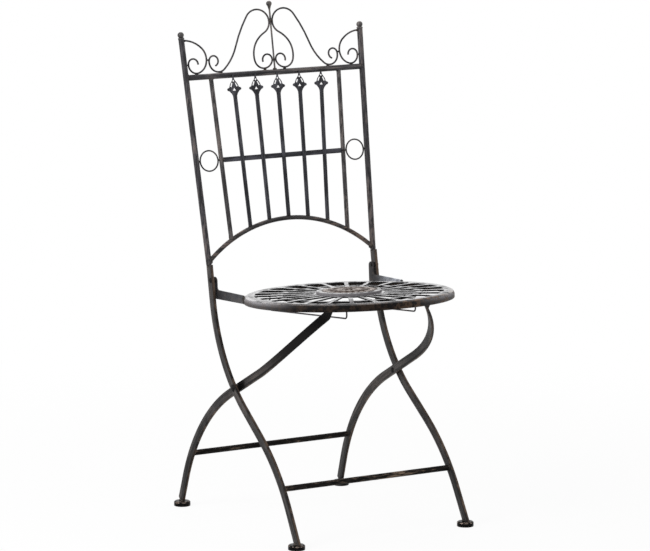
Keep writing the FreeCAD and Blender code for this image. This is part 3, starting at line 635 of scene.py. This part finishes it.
for name, start, heading, bends, node in (
    ("heart_scrolls", HEART_START, HEART_HEADING, HEART_BENDS, "crest_scrolls"),
    ("small_corner_scrolls", CORNER_START, CORNER_HEADING, CORNER_BENDS, "corner_scrolls"),
):
    mesh = bmesh.new()
    scroll = Wire(mesh, start, heading, CREST_WIRE)
    for radius, turn in bends:
        scroll.bend(radius, turn)
    scroll.cut()
    mirror_over(mesh)
    bmesh.ops.transform(mesh, matrix=BACK_PLANE, verts=mesh.verts)
    piece(name, mesh, "back_frame", "wire_paint", wire_paint, node)


# Crest rod: a thin round rod welded on the middle of the rail, its top forged to a ball that
# tapers into it. Pewter-grey paint, as on the other balls.

ROD_R = 1.7
ROD = [(0, 858.0), (ROD_R, 858.0), (ROD_R, 900), (ROD_R, 940), (ROD_R, 971.5)]
TAPER = [(1.9, 973.6), (2.5, 976.2), (3.2, 978.6)]
BUD_R = 5.5
BUD_CENTRE = 984.5

mesh = bmesh.new()
stand = BACK_PLANE @ Matrix.Rotation(-math.pi / 2, 4, "X")
bud = ball(BUD_R, BUD_CENTRE, first=-46, last=90, points=14)
lathe(mesh, ROD + TAPER + bud, stand, steps=28)
piece("bud_rod", mesh, "back_frame", "wire_paint", knob_paint, "crest_rod")


# Welds of the back and the legs: small beads run round each joint and painted over, darker
# than most of the bars. Each is given by its place, on the back's plane or on the chair, and
# by its half sizes, all in millimetres.

BACK_WELDS = [
    # top rail, arch and front leg on the upright
    ((193.2, 852.6, 0), (2.4, 5.9, 6.3)),
    ((180.2, 503.4, 0), (4.6, 5.4, 5.6)),
    ((184.1, 497.4, 0), (4.2, 3.2, 6.0)),
    # outer baluster on the top rail and on the arch
    ((142.8, 846.8, 0), (4.9, 2.6, 4.9)),
    ((130.6, 543.6, 0), (4.9, 2.6, 4.9)),
    # middle rail on the baluster, and side ring on the baluster and the upright
    ((133.2, 692.6, 2.0), (1.8, 5.0, 1.8)),
    ((142.3, 692.6, 0), (2.3, 1.9, 2.1)),
    ((184.6, 692.6, 0), (2.3, 1.9, 2.1)),
    # corner scroll on the upright, twice, on the top rail and on the heart
    ((192.6, 923.3, 0), (2.6, 2.1, 2.2)),
    ((192.9, 876.6, 0), (2.4, 1.7, 1.8)),
    ((173.0, 858.6, 0), (3.4, 1.4, 2.2)),
    ((146.0, 883.9, 0), (1.7, 2.2, 1.8)),
    # heart on the top rail, twice, and crest rod on the rail and the heart
    ((119.6, 858.6, 0), (3.4, 1.4, 2.2)),
    ((21.8, 858.6, 0), (3.4, 1.4, 2.2)),
    ((2.0, 858.8, 0), (2.2, 1.6, 2.2)),
    ((1.9, 876.5, 0), (1.4, 2.6, 1.9)),
    ((1.9, 952.0, 0), (1.5, 6.0, 2.1)),
]
ARCH_CENTRE = 298.0
SPEAR_FOOT_STEP = 43.2
SPEAR_TIP_STEP = 49.2
SPEAR_TIP_HEIGHT = 848.6
FRONT_LEG_WELDS = [
    ((187.2, -186.1, 10.3), (4.4, 9.4, 2.0)),
    ((182.2, -133.4, 104), (2.4, 6.6, 6.6)),
]
REAR_LEG_WELDS = [
    ((181.3, 251.4, 10.3), (4.4, 9.8, 2.0)),
    ((175.6, 216.9, 109.6), (2.4, 6.6, 6.6)),
]

weld_paint = brushed_paint(
    "weld_paint", (120, 120, 120), (0.03, 0.027, 0.024),
    bronze=(0.1, 0.075, 0.055), share=0.6, roughness=0.5, shine=0.2,
)


def bead(mesh, spot, size):
    """A lump of weld metal, run down unevenly."""
    made = bmesh.ops.create_icosphere(mesh, subdivisions=3, radius=1)
    for vert in made["verts"]:
        swell = 1 + 0.3 * noise.noise(vert.co * 1.7 + spot * 900)
        vert.co = spot + Vector([a * b * MM for a, b in zip(vert.co, size)]) * swell


def weld_joints(name, body, slot, welds):
    """The same beads on both sides of the chair, as one piece."""
    mesh = bmesh.new()
    for side in (-1, 1):
        for (x, y, z), size in welds:
            bead(mesh, Vector((side * x, y, z)) * MM, size)
    piece(name, mesh, body, slot, weld_paint)


mesh = bmesh.new()
for side in (-1, 1):
    for (x, y, z), size in BACK_WELDS:
        bead(mesh, BACK_PLANE @ Vector((side * x, y, z)), size)
for number in range(-2, 3):
    foot = number * SPEAR_FOOT_STEP
    arch_top = ARCH_CENTRE + math.sqrt(ARCH_R ** 2 - foot ** 2) + ARCH_BAR / 2
    bead(mesh, BACK_PLANE @ Vector((foot, arch_top + 0.35, 1.2)), (4.4, 2.2, 1.7))
    tip = number * SPEAR_TIP_STEP
    bead(mesh, BACK_PLANE @ Vector((tip, SPEAR_TIP_HEIGHT, 5.2)), (1.8, 2.4, 1.6))
piece("back_welds", mesh, "back_frame", "rail_paint", weld_paint)
weld_joints("front_leg_welds", "back_frame", "leg_paint", FRONT_LEG_WELDS)
weld_joints("rear_leg_welds", "rear_legs", "leg_paint", REAR_LEG_WELDS)


# Seat: one iron casting with a turned-down rim, twenty-four straps on a hoop, and a boss.
# Dark lacquer, bright iron on top, with bronze in patches along the rim. The patches at the
# two ends and at the front are fixed to the seat, but follow the tones of the photograph: a
# painted highlight and painted reflection at the ends, and painted shade along the front.
# The walls of the slots are near black, painted shade between the straps.

SEAT_MIDDLE = Vector((0, -68.4 * MM, 448.9 * MM))
SEAT_TILT = math.radians(-3.63)
SEAT_PLANE = (
    Matrix.Translation(SEAT_MIDDLE) @ Matrix.Rotation(SEAT_TILT, 4, "X") @ Matrix.Scale(MM, 4)
)
SEAT_R = 198.5
RIM_WIDTH = 8
LEVEL = 0.8
# The patches are laid out across the photograph's view, so VIEW_TURN is the camera's azimuth.
# Each pair of sizes gives the two edges of a patch's soft border.
VIEW_TURN = math.radians(31.6)
BOSS_EDGE = (63 * MM, 66 * MM)
STRAP_ENDS = (176 * MM, 186 * MM)
RIM_EDGE = (189 * MM, 192 * MM)
HIGHLIGHT_END = (-185 * MM, -90 * MM)
BRONZE_END = (60 * MM, 120 * MM)
REFLECTION_END = (110 * MM, 190 * MM)
SHADED_FRONT = (50 * MM, 120 * MM)
SHOULDER = (-10 * MM, -1 * MM)
OVER_PLANE = (0, 0.5 * MM)

seat_iron = Finish("seat_iron")
cloud = seat_iron.noise(seat_iron.place((20, 20, 20)), 5.0, 0.6)
flow = seat_iron.noise(seat_iron.place((90, 90, 90), (2, 5, 1)), 5.0, 0.65)
fine = seat_iron.noise(seat_iron.place((380, 380, 380)), 3.0, 0.6)

spot = seat_iron.place((1, 1, 0), (0, -SEAT_MIDDLE.y, 0))
reach = seat_iron.node("ShaderNodeVectorMath", {"operation": "LENGTH"}, {0: spot}, "Value")
sideways = seat_iron.along("X")
behind = seat_iron.along("Y") - SEAT_MIDDLE.y
above = seat_iron.along("Z") - SEAT_MIDDLE.z
across = sideways * math.cos(VIEW_TURN) - behind * math.sin(VIEW_TURN)
toward = behind * -math.cos(VIEW_TURN) - sideways * math.sin(VIEW_TURN)
height = above * math.cos(SEAT_TILT) - behind * math.sin(SEAT_TILT)

top = seat_iron.mark("top")
rim = seat_iron.between(reach, *RIM_EDGE)
# Painted highlight at the rim's left end, and painted shade along the rim's front.
painted_highlight = 1 - seat_iron.between(across, *HIGHLIGHT_END)
painted_front_shade = seat_iron.between(toward, *SHADED_FRONT) * rim * (1 - painted_highlight)
bright = seat_iron.between(flow * 0.6 + cloud * 0.5, 0.44, 0.6)
bright = bright * (1 - 0.35 * seat_iron.between(reach, *STRAP_ENDS)) * (1 - 0.8 * painted_front_shade)
bronzed = seat_iron.between(flow * 0.7 + cloud * 0.3, 0.46, 0.56)
bronzed = bronzed * (0.25 + 0.6 * seat_iron.between(across, *BRONZE_END))

# Painted reflection: the skirt pale at both ends, most on its upper part.
painted_reflection = seat_iron.between(across, *REFLECTION_END).most(painted_highlight)
painted_reflection = painted_reflection * (0.2 + 0.8 * seat_iron.between(height, *SHOULDER))
skirt = seat_iron.blend(painted_reflection, rgb((0.006, 0.005, 0.005)), rgb((0.34, 0.33, 0.345)))
skirt = seat_iron.blend(bronzed * 0.8, skirt, rgb((0.12, 0.078, 0.052)))
boss = (1 - seat_iron.between(reach, *BOSS_EDGE)) * seat_iron.between(height, *OVER_PLANE)
# The walls of the slots are near black: painted shade between the straps.
walls = seat_iron.blend(boss, rgb((0.002, 0.002, 0.002)), rgb((0.22, 0.21, 0.22)))
rough_cast = seat_iron.blend(flow, rgb((0.008, 0.0075, 0.0075)), rgb((0.05, 0.044, 0.041)))
walls = seat_iron.blend(seat_iron.mark("under"), walls, rough_cast)
silver = seat_iron.blend(bright, rgb((0.022, 0.021, 0.022)), rgb((0.25, 0.246, 0.256)))
silver = seat_iron.blend(bronzed * rim, silver, rgb((0.17, 0.1, 0.058)))
# A near-white painted highlight on the rim's top at the left end.
silver = seat_iron.blend(painted_highlight * rim * bright, silver, rgb((0.7, 0.69, 0.71)))
seat_iron.give(
    Base_Color=seat_iron.blend(top, seat_iron.blend(rim, walls, skirt), silver),
    Roughness=0.5 - 0.38 * bright * top + 0.08 * fine,
    Metallic=0.6 * bright * top,
    Coat_Weight=top * (0.3 + 0.7 * bright) * (1 - 0.7 * painted_front_shade),
    Coat_Roughness=0.08,
    Specular_IOR_Level=0.07,
    Normal=seat_iron.bump(flow * 0.5 + fine * 0.5, 0.0004, 0.4),
)

mesh = worn_copy("seat_casting", 0.9 * MM)
mesh.normal_update()
to_seat = SEAT_PLANE.inverted()
up = (SEAT_PLANE.to_3x3() @ Vector((0, 0, 1))).normalized()
top_mark = mesh.verts.layers.float.new("top")
under_mark = mesh.verts.layers.float.new("under")
# A slope is the cosine between a face's way and the seat's: LEVEL or more is flat on top.
for vert in mesh.verts:
    spot = to_seat @ vert.co
    on_rim = math.hypot(spot.x, spot.y) > SEAT_R - RIM_WIDTH and spot.z > -1
    slopes = [face.normal.dot(up) for face in vert.link_faces]
    vert[top_mark] = 1.0 if on_rim or max(slopes) > LEVEL else 0.0
    vert[under_mark] = 1.0 if min(slopes) < -LEVEL else 0.0
piece("seat_openwork", mesh, "seat", "seat_iron", seat_iron.material, "seat_casting")


# Medallion: a round ornament let into the boss, a rosette of petals inside a beaded rim, with
# a low ring of leaves round it. Brown lacquer, rubbed to pale bronze on all that stands up.

PETALS = 12
PETAL_AREA = (10.0, 28.5)
BEADS = 36
BEAD_AREA = (31.5, 35.0)
LEAVES = 24
LEAF_AREA = (37.8, 52.0)
LEAF_RINGS = 12
BOSS_TOP = 4.8
CARVED_STEPS = 288
ROSETTE = [
    (0, 0.05), (37.0, 0.05), (37.0, 4.6), (36.6, 5.6), (35.8, 6.4), (34.6, 7.1), (33.2, 7.4),
    (31.8, 7.2), (30.6, 6.6), (29.6, 6.0), (28.4, 5.7), (26.5, 5.9), (24.5, 6.2), (22.0, 6.5),
    (19.0, 6.7), (16.0, 6.6), (13.0, 6.2), (10.5, 5.8), (9.3, 5.7), (8.4, 6.6), (6.8, 7.6),
    (4.5, 8.1), (0, 8.3),
]

medallion = Finish("medallion_bronze")
specks = medallion.noise(medallion.place((330, 330, 330)), 4.0, 0.65)
rubbed = medallion.between(specks * 0.7 + medallion.mark("raised") * 0.5, 0.5, 0.72)
medallion.give(
    Base_Color=medallion.blend(rubbed, rgb((0.05, 0.031, 0.023)), rgb((0.4, 0.35, 0.32))),
    Roughness=0.46 - 0.12 * rubbed,
    Metallic=0.3 + 0.5 * rubbed,
    Specular_IOR_Level=0.25,
    Normal=medallion.bump(specks, 0.0004, 0.5),
)


def carve(mesh, area, lobes, depth, drop):
    """Raise a ring of petals, beads or leaves between two radii, and mark what stands up."""
    marks = mesh.verts.layers.float
    raised = marks.get("raised") or marks.new("raised")
    for vert in mesh.verts:
        reach = math.hypot(vert.co.x, vert.co.y)
        if area[0] < reach < area[1]:
            swell = math.sin(math.pi * (reach - area[0]) / (area[1] - area[0]))
            lobe = abs(math.cos(lobes / 2 * math.atan2(vert.co.y, vert.co.x)))
            vert.co.z += swell * (depth * lobe - drop)
            vert[raised] = swell * lobe


mesh = bmesh.new()
lathe(mesh, ROSETTE, Matrix(), CARVED_STEPS)
carve(mesh, PETAL_AREA, PETALS, depth=1.3, drop=0.9)
carve(mesh, BEAD_AREA, BEADS, depth=0.7, drop=0.7)
bmesh.ops.transform(mesh, matrix=SEAT_PLANE, verts=mesh.verts)
piece("rosette", mesh, "seat", "medallion_bronze", medallion.material, "seat_medallion")

mesh = bmesh.new()
inner, outer = LEAF_AREA
leaf_step = (outer - inner) / LEAF_RINGS
across_leaf = [(outer - leaf_step * ring, BOSS_TOP + 0.12) for ring in range(LEAF_RINGS + 1)]
root = [(inner, BOSS_TOP - 0.1), (outer, BOSS_TOP - 0.1)]
lathe(mesh, root[1:] + across_leaf + root, Matrix(), CARVED_STEPS)
carve(mesh, LEAF_AREA, LEAVES, depth=1.2, drop=0.1)
bmesh.ops.transform(mesh, matrix=SEAT_PLANE, verts=mesh.verts)
piece("leaf_ring", mesh, "seat", "medallion_bronze", medallion.material)


# Hinge brackets: flat plates that carry the seat, an ear on the seat pivot and an arm forward
# to the rim. Charcoal paint, with a painted highlight on the front of the arm on the sitter's
# left.

GUIDE_X = 75.5
ARM_FADE = (20 * MM, 120 * MM)
SEAT_WELDS = [
    ((176.2, 22.0, 437.0), (2.6, 5.5, 8.0)),
    ((GUIDE_X, -179.2, 450.8), (2.4, 2.6, 1.4)),
    ((GUIDE_X, 96.6, 435.8), (2.4, 2.6, 1.4)),
]


def bracket_paint(name, arm_highlight):
    """Mottled charcoal paint, with a painted highlight on the arm's front by the given share."""
    finish = Finish(name)
    mottle = finish.noise(finish.place((75, 75, 75)), 5.0, 0.65)
    grain = finish.noise(finish.place((420, 420, 420)), 2.0, 0.5)
    forward = 1 - finish.between(finish.along("Y"), *ARM_FADE)
    # Painted highlight: the arm's front turns pale blue-grey by the given share.
    bright = forward * (0.5 + 0.5 * finish.between(mottle, 0.35, 0.55)) * arm_highlight
    brown = finish.between(mottle, 0.5, 0.62) * 0.5
    dark = finish.blend(brown, rgb((0.023, 0.022, 0.024)), rgb((0.06, 0.046, 0.038)))
    finish.give(
        Base_Color=finish.blend(bright, dark, rgb((0.6, 0.63, 0.7))),
        Roughness=0.46 + 0.1 * grain,
        Metallic=0.1 + 0.3 * bright,
        Specular_IOR_Level=0.2,
        Normal=finish.bump(mottle * 0.6 + grain * 0.4, 0.0006, 0.6),
    )
    return finish.material


for side, arm_highlight in (("left", 0.9), ("right", 0.06)):
    node = side + "_hinge_bracket"
    mesh = worn_copy(node, 0.6 * MM)
    paint = bracket_paint(side + "_bracket_paint", arm_highlight)
    piece(side + "_bracket", mesh, "seat", "bracket_paint", paint, node)
weld_joints("seat_welds", "seat", "bracket_paint", SEAT_WELDS)


# Guide wires under the seat: thin wire with both ends bent up and welded to the hoop and the
# rim. The slide bar between the rear legs' tops runs along them.

GUIDE_WIRE = 3.0
GUIDE_FRONT = (-111.5, -5.55)
GUIDE_REAR_END = -3.05
GUIDE_DEPTH = 33.5
GUIDE_RUN = 277.2
GUIDE_SLOPE = 1.42
GUIDE_BEND = 6
SIDE_VIEW = Matrix(((0, 0, 1, 0), (1, 0, 0, 0), (0, 1, 0, 0), (0, 0, 0, 1)))

mesh = bmesh.new()
wire = Wire(mesh, GUIDE_FRONT, 270, GUIDE_WIRE)
slope = math.radians(GUIDE_SLOPE)
front_bend = GUIDE_BEND * math.tan((math.pi / 2 - slope) / 2)
rear_bend = GUIDE_BEND * math.tan((math.pi / 2 + slope) / 2)
wire.run(GUIDE_DEPTH + GUIDE_FRONT[1] - front_bend).bend(GUIDE_BEND, 90 - GUIDE_SLOPE)
wire.run(GUIDE_RUN - front_bend - rear_bend).bend(GUIDE_BEND, 90 + GUIDE_SLOPE)
wire.run(GUIDE_REAR_END - wire.here.y)
wire.cut()
stand = Matrix.Translation((GUIDE_X, 0, 0)) @ SIDE_VIEW
bmesh.ops.transform(mesh, matrix=stand, verts=mesh.verts)
mirror_over(mesh)
bmesh.ops.transform(mesh, matrix=SEAT_PLANE, verts=mesh.verts)
piece("guide_wires", mesh, "seat", "wire_paint", wire_paint, "left_guide_wire", "right_guide_wire")
mesh = worn_copy("slide_bar", 0.8 * MM)
piece("slide_bar_round", mesh, "slide_bar", "wire_paint", wire_paint, "slide_bar")


# Studio: a pale floor that keeps the chair's shadow, white surroundings and three soft lamps,
# with the camera at the photograph's viewing angle.

CAMERA_AZIMUTH = math.radians(-31.6)
CAMERA_ELEVATION = math.radians(9.19)
CAMERA_DISTANCE = 7.655
CAMERA_TARGET = Vector((0, 0.0345, 0.48))
CAMERA_LENS = 223.1
CAMERA_SHIFT = (0.0072, -0.0106)
WORLD_LIGHT = 0.42
FLOOR_HALF = 30
FLOOR_WHITE = 0.92
SHADOW_REACH = (0.6, 1.8)


def towards(azimuth, elevation):
    """The way from the chair to a lamp or camera. Azimuth 0 is in front of the sitter."""
    return Vector((
        math.sin(azimuth) * math.cos(elevation),
        -math.cos(azimuth) * math.cos(elevation),
        math.sin(elevation),
    ))


def look_at(thing, target):
    thing.rotation_euler = (target - thing.location).to_track_quat("-Z", "Y").to_euler()


def soft_lamp(name, azimuth, elevation, distance, size, power):
    lamp = bpy.data.lights.new(name, "AREA")
    lamp.shape = "RECTANGLE"
    lamp.size, lamp.size_y = size
    lamp.energy = power
    made = bpy.data.objects.new(name, lamp)
    bpy.context.scene.collection.objects.link(made)
    aim = Vector((0, 0, 0.5))
    made.location = aim + towards(math.radians(azimuth), math.radians(elevation)) * distance
    look_at(made, aim)


soft_lamp("key_lamp", azimuth=-85, elevation=35, distance=2.6, size=(1.2, 1.6), power=42)
soft_lamp("fill_lamp", azimuth=40, elevation=30, distance=3.2, size=(1.6, 1.6), power=10)
soft_lamp("back_lamp", azimuth=160, elevation=50, distance=3.0, size=(1.6, 1.2), power=24)

camera = bpy.data.objects.new("camera", bpy.data.cameras.new("camera"))
bpy.context.scene.collection.objects.link(camera)
camera.location = CAMERA_TARGET + towards(CAMERA_AZIMUTH, CAMERA_ELEVATION) * CAMERA_DISTANCE
look_at(camera, CAMERA_TARGET)
camera.data.lens = CAMERA_LENS
camera.data.sensor_width = 36
camera.data.shift_x, camera.data.shift_y = CAMERA_SHIFT
bpy.context.scene.camera = camera


def seen_directly(finish):
    """1 for what the camera sees straight, in a gloss or through glass, and 0 for light."""
    seen = finish.node("ShaderNodeLightPath", output="Is Camera Ray")
    for other in ("Is Glossy Ray", "Is Transmission Ray"):
        seen = seen.most(finish.node("ShaderNodeLightPath", output=other))
    return seen


bpy.context.scene.world = bpy.data.worlds.new("studio")
sky = Finish("studio", bpy.context.scene.world, "Background")
sky.give(
    Color=rgb((1, 1, 1)),
    Strength=WORLD_LIGHT + (1 - WORLD_LIGHT) * seen_directly(sky),
)

floor_mesh = bmesh.new()
bmesh.ops.create_grid(floor_mesh, x_segments=1, y_segments=1, size=FLOOR_HALF)
floor_data = bpy.data.meshes.new("floor")
floor_mesh.to_mesh(floor_data)
floor_mesh.free()
floor = bpy.data.objects.new("floor", floor_data)
bpy.context.scene.collection.objects.link(floor)
paper = Finish("floor_paper").give(Base_Color=rgb((0.9, 0.9, 0.9)), Roughness=0.9)
spot = paper.node("ShaderNodeTexCoord", output="Object")
away = paper.node("ShaderNodeVectorMath", {"operation": "LENGTH"}, {0: spot}, "Value")
far = paper.between(away, *SHADOW_REACH)
white = seen_directly(paper) * (FLOOR_WHITE + (1 - FLOOR_WHITE) * far)
shaded = Value(paper, paper.surface.outputs[0])
parts = {0: white, 1: shaded, 2: paper.node("ShaderNodeEmission")}
shown = paper.node("ShaderNodeMixShader", None, parts)
paper.feed(paper.tree.nodes["Material Output"].inputs["Surface"], shown)
floor.data.materials.append(paper.material)

bpy.context.scene.view_settings.view_transform = "Standard"
